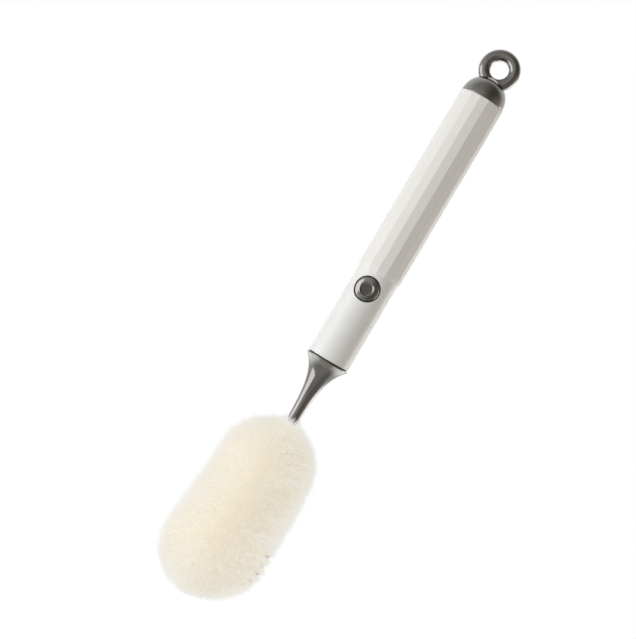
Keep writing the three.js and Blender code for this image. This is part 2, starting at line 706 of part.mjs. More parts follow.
// The filaments stand in helical rows, so the body has a helical furrow between each two rows.
function bristleFill() {
  const outline = [];
  const stepsAlong = Math.round((ROW_STEPS * HEAD_LENGTH) / ROW_PITCH);
  for (let i = 0; i <= stepsAlong; i += 1) {
    const depth = (HEAD_LENGTH * i) / stepsAlong;
    outline.push([headRadius(depth), headTop - depth]);
  }
  outline[0][0] = 0;
  outline[stepsAlong][0] = 0;
  const body = turnedGeometry(outline, HEAD_SIDES);
  const points = body.attributes.position;
  for (let i = 0; i < points.count; i += 1) {
    const at = new THREE.Vector3().fromBufferAttribute(points, i);
    const radius = Math.hypot(at.x, at.y);
    const turn = Math.atan2(at.y, at.x) / (2 * Math.PI);
    const depth = headTop - at.z;
    const row = depth / ROW_PITCH + ROW_STARTS * turn;
    const furrow = (1 + Math.cos(2 * Math.PI * row)) / 2;
    const fade = Math.min(1, radius / HEAD_TOP_RADIUS);
    const share = radius > 0 ? 1 - (ROW_DEPTH * furrow * fade) / radius : 1;
    points.setXYZ(i, at.x * share - headLean(depth), at.y * share, at.z);
  }
  const stemRoom = STEM_RADIUS + RUNNING_GAP;
  const wireRoom = wireReach + RUNNING_GAP;
  const stemRoomEnd = stemEnd - RUNNING_GAP;
  const hole = turned([
    [0, wireTip - RUNNING_GAP],
    [wireRoom, wireTip - RUNNING_GAP],
    [wireRoom, stemRoomEnd],
    [stemRoom, stemRoomEnd],
    [stemRoom, headTop + CUT_OVER],
    [0, headTop + CUT_OVER],
  ], SMALL_SIDES);
  return solid(body).subtract(hole);
}

const handle = new THREE.Group();
handle.add(
  piece('handle_shell', handleShell(), WHITE_PLASTIC),
  piece('socket_sleeve', socketSleeve(), INNER_PLASTIC),
  piece('end_cap', endCap(), GUNMETAL_PLATING),
  piece('cap_seal', capSeal(), BLACK_RUBBER),
  piece('hang_ring', hangRing(), GUNMETAL_PLATING),
  piece('ring_screw', ringScrew(), SPRING_STEEL),
);
const clip = piece('latch_clip', latchClip(), SPRING_STEEL);
clip.position.z = BUTTON_HEIGHT;
handle.add(clip);

const button = new THREE.Group();
button.add(
  piece('button_cap', buttonCap(), GUNMETAL_PLATING),
  piece('button_plunger', buttonPlunger(), INNER_PLASTIC),
);
button.position.z = BUTTON_HEIGHT;
button.rotation.x = Math.PI / 2;

const head = new THREE.Group();
head.add(
  piece('head_plug', headPlug(), INNER_PLASTIC),
  piece('joint_seal', jointSeal(), BLACK_RUBBER),
  piece('neck', neck(), GUNMETAL_PLATING),
  piece('wire_core', wireCore(), SPRING_STEEL),
  piece('bristle_fill', bristleFill(), CREAM_BRISTLE),
);

const brush = new THREE.Group();
brush.add(handle, button, head);
brush.position.z = -ringCentre;

const cupBrush = new THREE.Group();
cupBrush.add(brush);

export default cupBrush;
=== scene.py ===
import math

import bmesh
import bpy
import numpy as np
from mathutils import Matrix, Vector


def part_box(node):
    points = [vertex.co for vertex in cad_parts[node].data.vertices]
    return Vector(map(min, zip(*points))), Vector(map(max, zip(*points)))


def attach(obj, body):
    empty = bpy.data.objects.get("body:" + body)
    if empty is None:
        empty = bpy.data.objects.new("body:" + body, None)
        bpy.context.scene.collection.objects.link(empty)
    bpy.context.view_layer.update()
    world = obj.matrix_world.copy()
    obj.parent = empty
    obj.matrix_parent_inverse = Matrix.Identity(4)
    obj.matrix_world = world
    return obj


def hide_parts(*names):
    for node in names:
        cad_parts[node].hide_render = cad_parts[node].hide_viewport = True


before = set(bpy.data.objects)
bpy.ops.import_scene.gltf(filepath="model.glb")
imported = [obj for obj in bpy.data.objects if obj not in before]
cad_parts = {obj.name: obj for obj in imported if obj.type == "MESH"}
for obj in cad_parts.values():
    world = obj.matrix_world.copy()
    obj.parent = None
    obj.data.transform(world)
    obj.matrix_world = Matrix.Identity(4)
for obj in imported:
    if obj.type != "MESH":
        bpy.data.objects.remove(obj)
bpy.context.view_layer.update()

# Sizes are millimetres until a mesh is made. Heights are the frame's own Z.
MM = 0.001
MERGE_GAP = 0.001
QUARTER_TURN = math.pi / 2
FULL_TURN = 2 * math.pi

# View of the photograph: 639 pixels high, at half a millimetre each on the brush's axis
IMAGE_HIGH = 639
PIXEL = 0.5
VIEW_DISTANCE = 723
VIEW_TURN = math.radians(8.6)
VIEW_ROLL = math.radians(30.6)
AIM_HEIGHT = -153.4
AIM_ASIDE = -14.7

# Lamps, each at an angle from the camera's own direction, round to the right
KEY_ANGLE = math.radians(-52)
KEY_DISTANCE = 760
KEY_LIFT = 250
KEY_WIDTH = 420
KEY_TALL = 700
KEY_RADIANCE = 2.2
STREAK_ANGLE = math.radians(-72)
STREAK_DISTANCE = 760
STREAK_LIFT = -50
STREAK_WIDTH = 660
STREAK_TALL = 1300
STREAK_RADIANCE = 2.35
FILL_ANGLE = math.radians(-28)
FILL_DISTANCE = 780
FILL_WIDTH = 480
FILL_TALL = 700
FILL_RADIANCE = 1.2
RIM_ANGLE = math.radians(116)
RIM_DISTANCE = 800
RIM_SIZE = 500
RIM_RADIANCE = 2.8
RIM_TINT = (1, 0.95, 0.88)

# Room on the camera's side and backdrop behind the brush. What gleams is seen in glossy faces only.
ROOM_BRIGHT = 0.92
ROOM_BRIGHT_FROM = -0.6
ROOM_DARK = 0.11
ROOM_DARK_GLEAM = 0.27
ROOM_DARK_FROM = 0.45
ROOM_LIFT = 0.33
ROOM_LIFT_FROM = 0.55
TOP_LOSS = 0.12
TOP_GLEAM_LOSS = 0.26
TOP_FULL = 0.6
BACKDROP_TURN = math.radians(4)
BACKDROP_FROM = -0.25
BACKDROP_FULL = 0.45
BACKDROP_LIGHT = 0.62
BACKDROP_GLEAM = 1.25

# Floor, with what glossy faces see in it: a dim front, shaded at the right, and a bright pool behind
FLOOR_DROP = 400
FLOOR_SIZE = 4000
FLOOR_GLOW = 0.85
FLOOR_WHITE = 1.12
FLOOR_GLEAM = 1.1
FRONT_GLEAM = 0.56
FRONT_SHADE = 0.22
FRONT_REACH = 150
BACK_REACH = -250
SHADE_FROM = 200
SHADE_FULL = 420
POOL_GLEAM = 1.75
POOL_BEHIND = 700
POOL_LONG = 700
POOL_WIDE = 650
POOL_CORE = 0.56
POOL_EDGE = 1.56

# Handle. The points across a flat are shares of the angle from its middle to its edge.
GRIP_SIDES = 16
GRIP_CORNER_SOFTENING = 0.035
FLAT_POINTS = (-0.93, -0.47, 0, 0.47, 0.93)
GRIP_RUN_OUT = 4
BARREL_RADIUS = 11.1
BARREL_EDGE = 0.35
BARREL_LENGTH = 49.9
BORE_RADIUS = 9.1
TOP_EDGE = 0.15
RING_SPACING = 4
FINE_RING_SPACING = 0.5
HOLE_MARGIN = 3
END_MARGIN = 2
TOP_MARGIN = 1
EDGE_STEPS = 4
TOP_EDGE_STEPS = 3
RUN_OUT_RINGS = 13
GRIP_RINGS = 24
BORE_RINGS = 30

# Cap and ring
CAP_HEIGHT = 12.1
CAP_EDGE = 0.3
CAP_BAND = 0.9
CAP_BAND_EASE = 0.1
CAP_BAND_STEP = 0.12
CAP_STEP_EASE = 0.05
CAP_FULLNESS = 2.05
CAP_SPIGOT_RADIUS = 8.9
CAP_SPIGOT_WALL = 2.7
CAP_SPIGOT_EASE = 0.3
CAP_CROWN = 2.4
CAP_SEAT_GAP = 0.1
DOME_FOOT = 0.3
DOME_STEPS = 60
DOME_FIRST_STEP = 3
RING_SEAM = 0.2

# Button
BUTTON_PROUD = 0.5
BUTTON_HOLE_GAP = 0.4
BUTTON_HOLE_EASE = 0.25
CUTTER_LIP = 0.05
CUTTER_PROUD = 3
# Painted shade on the wall of the button's hole reaches this far past the gap
GAP_SHADE = 0.08
GAP_BLEND = 0.12
BUTTON_EDGE = 0.6
BUTTON_EDGE_STEPS = 8
BUTTON_FACE_STEPS = 5
BUTTON_CROWN = 0.25
DISH_RIM_RADIUS = 3.7
DISH_FLOOR_RADIUS = 2.8
DISH_BLEND = 0.3
DISH_DEPTH = 1
DISH_ROUNDING = 0.25

# Neck
NECK_RIM_BAND = 0.45
NECK_RIM_EASE = 0.18
STEM_RADIUS = 2.9
FLARE_LENGTH = 8.8
FLARE_START = 0.5
FLARE_STEPS = 90
FLARE_CROWDING = 1.5
WIRE_ROOM = 2
FLANGE_ROOM = 7.1
FLANGE_ROOM_DEPTH = 2.5
SEAL_BORE = 6.9
SEAL_EASE = 0.15

# Bristle head
HEAD_LENGTH = 101.2
HEAD_TOP_RADIUS = 26.2
HEAD_TIP_RADIUS = 28.3
HEAD_DOME_LENGTH = 28
HEAD_DOME_SHARE = 0.3
HEAD_LEAN = 3.6
LEAN_POWER = 3
ROW_PITCH = 5
ROW_STARTS = 2
ROW_DEPTH = 0.4
CORE_SINK = 3
CORE_SMOOTH_ANGLE = 80
CORE_RINGS = 260
DEPTH_NUDGE = 1e-6

# Filaments. A station is a share of the length and the share of the radius there.
BRISTLE_SEED = 7
BRISTLE_BANDS = 12
BRISTLES_IN_BAND = 12000
BRISTLE_RADIUS = 0.07
BRISTLE_STATIONS = ((0, 1), (0.55, 0.95), (0.85, 0.7))
BRISTLE_SIDES = 3
BRISTLE_SUNK = 9
BRISTLE_UNEVEN = 5
BRISTLE_EVENNESS = 0.75
BRISTLE_OVERREACH = 0.9
SIDE_REACH = 0.7
BRISTLE_BEND = 0.35
BRISTLE_CROWDING = 0.2
BRISTLE_SPLAY = 1.2
STRAIGHT_SPLAY = 0.3
OFF_AXIS = 0.3
SLOPE_REACH = 0.2
GOLDEN_TURN = 0.6180339887
POLE_CLEARANCE = 0.05
POLE_EXTRA = 30
POLE_REACH = 4
FRINGE_DEPTH = 5
TUFT_UNEVEN = 0.6
TUFT_LENGTH = 2.6
TUFT_SPACING = 4.1
TUFT_LOBES = 2
STEM_TUFT = 3.2
STEM_TUFT_WIDTH = 1.6
STEM_CLEARANCE = 3.2
PARTED_DEPTH = 70
PARTED_SPAN = 10
PARTED_WIDTH = 0.5
PARTED_SKEW = 0.93
PARTED_OPEN = 0.8
PARTED_SHORTER = 2

# Bristle finish: how much of each colour is matt and how much is a painted glow in place of light scattered
# between filaments
ROOT_MATT = 0.7
ROOT_PAINTED_GLOW = 0.55
TIP_MATT = 0.28
TIP_PAINTED_GLOW = 0.8
DEPTH_SHADE = 0.94

# Shades of the filaments. Each has a row in the map for baking, and a filament a share of it each way.
SHADE_ROWS = 16
SHADE_VARIETY = 0.12
BAKE_REACH = 0.3

# Colours, linear
ROOM_LEFT = (1, 1, 1, 1)
ROOM_RIGHT = (1, 0.83, 0.6, 1)
ROOM_RIGHT_GLEAM = (1, 0.91, 0.77, 1)
FLOOR_PAPER = (0.86, 0.86, 0.86, 1)
WHITE_PLASTIC = (0.775, 0.775, 0.76, 1)
WARM_PLASTIC = (0.76, 0.757, 0.738, 1)
COOL_PLASTIC = (0.757, 0.77, 0.768, 1)
GUNMETAL = (0.23, 0.223, 0.215, 1)
GUNMETAL_DEEP = (0.195, 0.188, 0.18, 1)
# Painted shade in the floor of the button's dish
DISH_PAINTED_SHADE = (0.1, 0.1, 0.098, 1)
# Painted shade on the wall of the button's hole
GAP_PAINTED_SHADE = (0.06, 0.06, 0.058, 1)
INNER_GREY = (0.27, 0.275, 0.285, 1)
RUBBER_BLACK = (0.03, 0.03, 0.029, 1)
STEEL = (0.52, 0.525, 0.54, 1)
BRISTLE_ROOT = (0.752, 0.688, 0.556, 1)
BRISTLE_TIP = (0.84, 0.84, 0.81, 1)
# Painted shade for filaments in the partings between tufts
BRISTLE_GAP_PAINTED_SHADE = (0.4, 0.42, 0.41, 1)

# Directions of the brush and of the picture, and the point that the camera aims at
right_way = np.array([math.cos(VIEW_TURN), math.sin(VIEW_TURN), 0])
to_camera = np.array([math.sin(VIEW_TURN), -math.cos(VIEW_TURN), 0])
up_way = np.array([0, 0, 1])
image_right = math.cos(VIEW_ROLL) * right_way + math.sin(VIEW_ROLL) * up_way
image_up = math.cos(VIEW_ROLL) * up_way - math.sin(VIEW_ROLL) * right_way
aim = AIM_HEIGHT * up_way + AIM_ASIDE * right_way


# Nodes

class Wire:
    """A node's output. Arithmetic on it adds Math nodes."""

    def __init__(self, finish, socket):
        self.finish = finish
        self.socket = socket

    def math(self, operation, *values):
        sockets = dict(enumerate(values))
        return self.finish.node("ShaderNodeMath", {"operation": operation}, sockets)

    def __add__(self, other):
        return self.math("ADD", self, other)

    def __radd__(self, other):
        return self.math("ADD", other, self)

    def __sub__(self, other):
        return self.math("SUBTRACT", self, other)

    def __rsub__(self, other):
        return self.math("SUBTRACT", other, self)

    def __mul__(self, other):
        return self.math("MULTIPLY", self, other)

    def __rmul__(self, other):
        return self.math("MULTIPLY", other, self)

    def at_least(self, other):
        return self.math("MAXIMUM", self, other)

    def at_most(self, other):
        return self.math("MINIMUM", self, other)


class Finish:
    """The nodes of a material or of the world."""

    def __init__(self, holder):
        holder.use_nodes = True
        self.holder = holder
        self.tree = holder.node_tree
        self.tree.nodes.clear()

    def node(self, kind, settings=None, sockets=None, output=0):
        made = self.tree.nodes.new(kind)
        for name, value in (settings or {}).items():
            setattr(made, name, value)
        for name, value in (sockets or {}).items():
            if isinstance(value, Wire):
                self.tree.links.new(value.socket, made.inputs[name])
            else:
                made.inputs[name].default_value = value
        return Wire(self, made.outputs[output]) if made.outputs else None

    def vectors(self, operation, *values, output="Vector"):
        sockets = dict(enumerate(values))
        return self.node("ShaderNodeVectorMath", {"operation": operation}, sockets, output)

    def along(self, vector, way):
        """The vector's dot product with a way."""
        return self.vectors("DOT_PRODUCT", vector, way, output="Value")

    def place(self):
        return self.node("ShaderNodeTexCoord", output="Object")

    def noise(self, size_mm, detail=2, stretch=(1, 1, 1)):
        """Noise with features of about size_mm, stretched along the axes."""
        place = self.vectors("MULTIPLY", self.place(), [1 / (size_mm * MM * share) for share in stretch])
        return self.node("ShaderNodeTexNoise", None, {"Vector": place, "Scale": 1, "Detail": detail})

    def ease(self, value, start, end):
        """Rises smoothly from 0 where the value is at the start to 1 where it is at the end."""
        sockets = {"Value": value, "From Min": start, "From Max": end}
        return self.node("ShaderNodeMapRange", {"interpolation_type": "SMOOTHSTEP"}, sockets)

    def mixed(self, share, first, second):
        # The Mix node has sockets for every type: colours are its inputs 6 and 7 and its output 2.
        colours = {0: share, 6: first, 7: second}
        return self.node("ShaderNodeMix", {"data_type": "RGBA"}, colours, output=2)

    def bump(self, height, depth_mm):
        sockets = {"Height": height, "Distance": depth_mm * MM, "Strength": 1}
        return self.node("ShaderNodeBump", None, sockets)

    def principled(self, sockets):
        return self.node("ShaderNodeBsdfPrincipled", None, sockets)

    def seen_by(self, kind):
        return self.node("ShaderNodeLightPath", output=f"Is {kind} Ray")

    def surface(self, shader):
        kind = "World" if isinstance(self.holder, bpy.types.World) else "Material"
        self.node(f"ShaderNodeOutput{kind}", None, {"Surface": shader})
        return self.holder


def scaled(colour, factor):
    return tuple(factor * channel for channel in colour[:3]) + (1,)


def new_finish(name):
    return Finish(bpy.data.materials.new(name))


# Meshes

def node_box(node):
    low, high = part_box(node)
    return np.array(low) / MM, np.array(high) / MM


def add_object(name, data):
    made = bpy.data.objects.new(name, data)
    bpy.context.scene.collection.objects.link(made)
    return made


def new_piece(name, points, faces):
    mesh = bpy.data.meshes.new(name)
    mesh.from_pydata((np.asarray(points).reshape(-1, 3) * MM).tolist(), [], faces)
    mesh.validate()
    return add_object(name, mesh)


def dress(piece, finish, body, slot, *nodes):
    piece.data.materials.clear()
    piece.data.materials.append(finish)
    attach(piece, body)
    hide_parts(*nodes)
    return piece


def smooth(piece, sharp_angle=35):
    """Merges the points that meet, turns all faces out and keeps only true edges sharp."""
    edited = bmesh.new()
    edited.from_mesh(piece.data)
    bmesh.ops.remove_doubles(edited, verts=edited.verts, dist=MERGE_GAP * MM)
    bmesh.ops.recalc_face_normals(edited, faces=edited.faces)
    edited.to_mesh(piece.data)
    edited.free()
    piece.data.shade_smooth()
    piece.data.set_sharp_from_angle(angle=math.radians(sharp_angle))
    return piece


def cut(piece, cutter):
    """Takes the cutter's shape out of the piece and deletes the cutter."""
    boolean = piece.modifiers.new("cut", "BOOLEAN")
    boolean.operation = "DIFFERENCE"
    boolean.solver = "EXACT"
    boolean.object = cutter
    seen = piece.evaluated_get(bpy.context.evaluated_depsgraph_get())
    result = bpy.data.meshes.new_from_object(seen)
    piece.modifiers.clear()
    piece.data = result
    bpy.data.objects.remove(cutter)
    return piece


def circle(count):
    """Angles all round."""
    return np.linspace(0, FULL_TURN, count, endpoint=False)


def quarter(steps):
    """Angles from 0 to a right angle."""
    return np.linspace(0, QUARTER_TURN, steps + 1)


def unit(vectors):
    """The vectors, each made one long."""
    return vectors / np.linalg.norm(vectors, axis=-1, keepdims=True)


def round_points(radii, heights, angles):
    """Points about the Z axis: a row for each height and a column for each angle."""
    points = np.empty((len(heights), len(angles), 3))
    points[:, :, 0] = radii * np.cos(angles)
    points[:, :, 1] = radii * np.sin(angles)
    points[:, :, 2] = np.asarray(heights)[:, None]
    return points


def band_faces(rows, columns, closed=False):
    """Quads between rings of points: columns wrap, and rows wrap where the section is closed."""
    faces = []
    for row in range(rows if closed else rows - 1):
        above = (row + 1) % rows
        for column in range(columns):
            side = (column + 1) % columns
            faces.append((
                row * columns + column,
                row * columns + side,
                above * columns + side,
                above * columns + column,
            ))
    return faces


def rounded(corners, steps=6):
    """An outline of (radius, height, rounding) corners, each turned into an arc of that radius."""
    outline = []
    for index, (x, y, rounding) in enumerate(corners):
        here = np.array([x, y], float)
        if rounding == 0 or index in (0, len(corners) - 1):
            outline.append(here)
            continue
        before = np.array(corners[index - 1][:2]) - here
        after = np.array(corners[index + 1][:2]) - here
        shorter = min(np.linalg.norm(before), np.linalg.norm(after))
        before = unit(before)
        after = unit(after)
        half = math.acos(np.clip(before @ after, -1, 1)) / 2
        reach = min(rounding / math.tan(half), shorter / 2)
        radius = reach * math.tan(half)
        centre = here + unit(before + after) * radius / math.sin(half)
        first = here + before * reach - centre
        last = here + after * reach - centre
        sweep = math.pi - 2 * half
        for step in range(steps + 1):
            share = step / steps
            blend = math.sin((1 - share) * sweep) * first + math.sin(share * sweep) * last
            outline.append(centre + blend / math.sin(sweep))
    return outline


def turned(name, outline, sides=128, closed=False):
    """A piece of revolution about the Z axis from an outline of (radius, height) points."""
    outline = np.asarray(outline, float)
    points = round_points(outline[:, :1], outline[:, 1], circle(sides))
    return new_piece(name, points, band_faces(len(outline), sides, closed))


# Handle

shell_low, shell_high = node_box("handle_shell")
button_low, button_high = node_box("button_cap")
button_height = (button_low[2] + button_high[2]) / 2
button_radius = (button_high[0] - button_low[0]) / 2
button_face = BARREL_RADIUS + BUTTON_PROUD
run_out_height = shell_low[2] + BARREL_LENGTH
grip_apothem = shell_high[0] * math.cos(math.pi / GRIP_SIDES)
grip_corner = shell_high[0] - GRIP_CORNER_SOFTENING


def grip_angles():
    """Angles round the grip, close together at the edges of each flat so that the flats stay flat."""
    half = math.pi / GRIP_SIDES
    edge = math.acos(grip_apothem / grip_corner)
    steps = [-half, -edge, *[share * edge for share in FLAT_POINTS], edge]
    return np.array([(2 * side + 1) * half + step for side in range(GRIP_SIDES) for step in steps])


def grip_radius(angles):
    """Distance from the axis to the flats, with each corner a little rounded."""
    side = FULL_TURN / GRIP_SIDES
    from_middle = angles % side - side / 2
    return np.minimum(grip_apothem / np.cos(from_middle), grip_corner)


def handle_shell(finish):
    """A round barrel, flats that rise out of it, and a bore: rings up the outside and down the inside."""
    foot = shell_low[2]
    top = shell_high[2]
    angles = grip_angles()
    flats = grip_radius(angles)
    run_start = run_out_height - GRIP_RUN_OUT / 2
    fine_from = button_height - (button_radius + HOLE_MARGIN)
    heights = []
    radii = []

    def ring(height, radius):
        heights.append(height)
        radii.append(np.broadcast_to(radius, angles.shape))

    for turn in quarter(EDGE_STEPS):
        eased = BARREL_RADIUS - BARREL_EDGE * (1 - math.sin(turn))
        ring(foot + BARREL_EDGE * (1 - math.cos(turn)), eased)
    for height in np.arange(foot + RING_SPACING, fine_from, RING_SPACING):
        ring(height, BARREL_RADIUS)
    for height in np.arange(fine_from, run_start, FINE_RING_SPACING):
        ring(height, BARREL_RADIUS)
    for share in np.linspace(0, 1, RUN_OUT_RINGS):
        rise = share * share * (3 - 2 * share)
        scale = BARREL_RADIUS / shell_high[0]
        swelling = flats * (scale + (1 - scale) * rise)
        ring(run_start + share * GRIP_RUN_OUT, np.maximum(BARREL_RADIUS, swelling))
    grip_start = run_start + GRIP_RUN_OUT + END_MARGIN
    for height in np.linspace(grip_start, top - TOP_MARGIN, GRIP_RINGS):
        ring(height, flats)
    for turn in quarter(TOP_EDGE_STEPS):
        ring(top - TOP_EDGE * (1 - math.sin(turn)), flats - TOP_EDGE * (1 - math.cos(turn)))
    ring(top, BORE_RADIUS)
    for height in np.linspace(top - END_MARGIN, foot + END_MARGIN, BORE_RINGS):
        ring(height, BORE_RADIUS)
    ring(foot, BORE_RADIUS)
    points = round_points(np.array(radii), heights, angles)
    shell = new_piece("handle_shell_fine", points, band_faces(len(heights), len(angles), closed=True))
    smooth(shell)
    cut(shell, button_hole())
    smooth(shell)
    return dress(shell, finish, "handle", "white_plastic", "handle_shell")


def saddle(name, rings, sides=96):
    """A solid of rings about the button's own axis. Each ring has a radius, the distance of its face
    from the handle's axis, a drop below that face, and how far it follows the barrel's curve."""
    angles = circle(sides)
    points = np.empty((len(rings), sides, 3))
    for row, (radius, face, drop, curved) in enumerate(rings):
        across = radius * np.cos(angles)
        out = face + curved * (np.sqrt(np.maximum(face ** 2 - across ** 2, 0)) - face)
        points[row, :, 0] = across
        points[row, :, 1] = drop - out
        points[row, :, 2] = button_height + radius * np.sin(angles)
    return new_piece(name, points, band_faces(len(rings), sides))


def button_hole():
    """The cutter for the button's hole: a straight wall, an eased edge, and room outside the barrel."""
    radius = button_radius + BUTTON_HOLE_GAP
    lip = radius + BUTTON_HOLE_EASE + CUTTER_LIP
    rings = [(0, 0, 0, 0), (radius, 0, 0, 0)]
    for turn in quarter(EDGE_STEPS):
        wider = BUTTON_HOLE_EASE * (1 - math.cos(turn))
        drop = BUTTON_HOLE_EASE * (1 - math.sin(turn))
        rings.append((radius + wider, BARREL_RADIUS, drop, 1))
    rings.append((lip, BARREL_RADIUS, -CUTTER_LIP, 1))
    rings.append((lip, BARREL_RADIUS + CUTTER_PROUD, 0, 0))
    rings.append((0, BARREL_RADIUS + CUTTER_PROUD, 0, 0))
    return smooth(saddle("hole_cutter", rings))


def button_cap(finish):
    """A dish with a flat floor, a crowned face that follows the barrel, and a rounded edge."""
    rings = [(0, button_face, DISH_DEPTH, 0)]
    dish = rounded([
        (0, DISH_DEPTH, 0),
        (DISH_FLOOR_RADIUS, DISH_DEPTH, DISH_ROUNDING),
        (DISH_RIM_RADIUS, 0, DISH_ROUNDING),
        (button_radius, 0, 0),
    ])
    rim = dish[-2][0]

    def crown(radius):
        return BUTTON_CROWN * (radius / button_radius) ** 2

    for radius, drop in dish[1:-1]:
        share = min(1, max(0, (radius - DISH_FLOOR_RADIUS) / (rim - DISH_FLOOR_RADIUS)))
        rings.append((radius, button_face, drop + share * crown(radius), share))
    for radius in np.linspace(rim, button_radius - BUTTON_EDGE, BUTTON_FACE_STEPS + 1)[1:]:
        rings.append((radius, button_face, crown(radius), 1))
    for turn in quarter(BUTTON_EDGE_STEPS)[1:]:
        radius = button_radius - BUTTON_EDGE * (1 - math.sin(turn))
        rings.append((radius, button_face, crown(radius) + BUTTON_EDGE * (1 - math.cos(turn)), 1))
    rings.append((button_radius, -button_high[1], 0, 0))
    rings.append((0, -button_high[1], 0, 0))
    cap = smooth(saddle("button_cap_fine", rings))
    return dress(cap, finish, "button", "gunmetal_plating", "button_cap")


# Cap and ring

cap_low, cap_high = node_box("end_cap")
ring_high = node_box("hang_ring")[1]
ring_tube = ring_high[1]
ring_line = ring_high[0] - ring_tube


def loop(name, tube, around=160, section=48):
    """A round loop about the Y axis, centred where the brush hangs."""
    angles = circle(around)[:, None]
    turns = circle(section)
    out = ring_line + tube * np.cos(turns)
    points = np.empty((around, section, 3))
    points[:, :, 0] = out * np.cos(angles)
    points[:, :, 1] = tube * np.sin(turns)
    points[:, :, 2] = out * np.sin(angles)
    return smooth(new_piece(name, points, band_faces(around, section, closed=True)))


def end_cap(finish):
    """Hollow spigot, a narrow band on the grip's edge, and a dome with a seat for the ring."""
    rim = shell_high[2] + CAP_SEAT_GAP
    radius = cap_high[0]
    dome_radius = radius - CAP_BAND_STEP
    band_top = rim + CAP_BAND
    dome_top = rim + CAP_HEIGHT
    bore = CAP_SPIGOT_RADIUS - CAP_SPIGOT_WALL
    ceiling = -ring_high[0] - CAP_CROWN
    outline = rounded([
        (0, ceiling, 0),
        (bore, ceiling, 0),
        (bore, cap_low[2], 0),
        (CAP_SPIGOT_RADIUS, cap_low[2], CAP_SPIGOT_EASE),
        (CAP_SPIGOT_RADIUS, rim, 0),
        (radius, rim, CAP_EDGE),
        (radius, band_top, CAP_BAND_EASE),
        (dome_radius, band_top, CAP_STEP_EASE),
        (dome_radius, band_top + DOME_FOOT, 0),
    ])
    for turn in quarter(DOME_STEPS)[DOME_FIRST_STEP:-1]:
        outline.append((
            dome_radius * math.cos(turn) ** (2 / CAP_FULLNESS),
            band_top + (dome_top - band_top) * math.sin(turn) ** (2 / CAP_FULLNESS),
        ))
    outline.append((0, dome_top))
    cap = smooth(turned("end_cap_fine", outline))
    cut(cap, loop("saddle_cutter", ring_tube + RING_SEAM))
    smooth(cap)
    return dress(cap, finish, "handle", "gunmetal_plating", "end_cap")


def hang_ring(finish):
    ring = loop("hang_ring_fine", ring_tube)
    return dress(ring, finish, "handle", "gunmetal_plating", "hang_ring")


# Neck

neck_low, neck_high = node_box("neck")


def neck(finish):
    """A trumpet that thins into the stem, with room inside for the plug's flange and the wire."""
    top = neck_high[2]
    rim = neck_high[0]
    flare_top = top - NECK_RIM_BAND
    span = flare_top - neck_low[2]

    def flare(depth):
        return STEM_RADIUS + (rim - STEM_RADIUS) * math.exp(-depth / FLARE_LENGTH), flare_top - depth

    outline = rounded([
        (FLANGE_ROOM, top, 0),
        (rim, top, NECK_RIM_EASE),
        (rim, flare_top, NECK_RIM_EASE),
        (*flare(FLARE_START), 0),
    ])
    for step in range(1, FLARE_STEPS + 1):
        share = (step / FLARE_STEPS) ** FLARE_CROWDING
        outline.append(flare(FLARE_START + (span - FLARE_START) * share))
    outline += [
        (WIRE_ROOM, neck_low[2]),
        (WIRE_ROOM, top - FLANGE_ROOM_DEPTH),
        (FLANGE_ROOM, top - FLANGE_ROOM_DEPTH),
    ]
    trumpet = smooth(turned("neck_fine", outline, closed=True))
    return dress(trumpet, finish, "brush_head", "gunmetal_plating", "neck")


def joint_seal(finish):
    low, high = node_box("joint_seal")
    outline = rounded([
        (SEAL_BORE, low[2], 0),
        (high[0], low[2], SEAL_EASE),
        (high[0], high[2], SEAL_EASE),
        (SEAL_BORE, high[2], 0),
    ])
    gasket = smooth(turned("joint_seal_fine", outline, closed=True))
    return dress(gasket, finish, "brush_head", "black_rubber", "joint_seal")


# Bristle head

head_tip = node_box("bristle_fill")[0][2]
head_top = head_tip + HEAD_LENGTH
lean_way = np.array([-1, 0, 0])


def head_outline(count=600):
    """Depths below the top of the head and the radii there: a dome, a straight stretch and a dome."""
    way = np.linspace(0, 1, count)
    middle = np.clip((way - HEAD_DOME_SHARE) / (1 - 2 * HEAD_DOME_SHARE), 0, 1)
    top_dome = np.minimum(way / HEAD_DOME_SHARE, 1)
    tip_dome = np.maximum(way - (1 - HEAD_DOME_SHARE), 0) / HEAD_DOME_SHARE
    turn = (top_dome + tip_dome) * QUARTER_TURN
    straight = HEAD_LENGTH - 2 * HEAD_DOME_LENGTH
    widest = HEAD_TOP_RADIUS + (HEAD_TIP_RADIUS - HEAD_TOP_RADIUS) * middle
    depth = HEAD_DOME_LENGTH * (1 - np.cos(turn)) + straight * middle
    return depth, np.maximum(widest * np.sin(turn), 0)


def lean(depth):
    """How far the soft head hangs over to one side at a depth."""
    return HEAD_LEAN * (np.clip(depth, 0, None) / HEAD_LENGTH) ** LEAN_POWER


def row_phase(depth, angle):
    """Turns of the helical rows at a place on the head."""
    return depth / ROW_PITCH + ROW_STARTS * angle / FULL_TURN


def row_furrow(depth, angle):
    """1 between two rows and 0 on top of them."""
    return (1 + np.cos(FULL_TURN * row_phase(depth, angle))) / 2


def bristle_core(finish, sides=180):
    """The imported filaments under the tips, with a furrow between each two rows."""
    depth, radius = head_outline(CORE_RINGS)
    # The nudge keeps the depths apart at the poles, where they bunch up.
    slope = np.gradient(radius, depth + DEPTH_NUDGE * np.arange(len(depth)))
    normal = unit(np.stack([np.ones_like(slope), -slope], 1))
    core_radius = np.maximum(radius - CORE_SINK * normal[:, 0], 0)
    core_depth = np.clip(depth - CORE_SINK * normal[:, 1], CORE_SINK, HEAD_LENGTH - CORE_SINK)
    angles = circle(sides)
    fade = np.clip(core_radius / HEAD_TOP_RADIUS, 0, 1)[:, None]
    out = core_radius[:, None] - ROW_DEPTH * row_furrow(core_depth[:, None], angles) * fade
    points = round_points(out, head_top - core_depth, angles)
    points += (lean(core_depth)[:, None] * lean_way)[:, None, :]
    core = new_piece("bristle_core", points, band_faces(len(depth), sides))
    smooth(core, CORE_SMOOTH_ANGLE)
    return dress(core, finish, "brush_head", "cream_bristle", "bristle_fill")


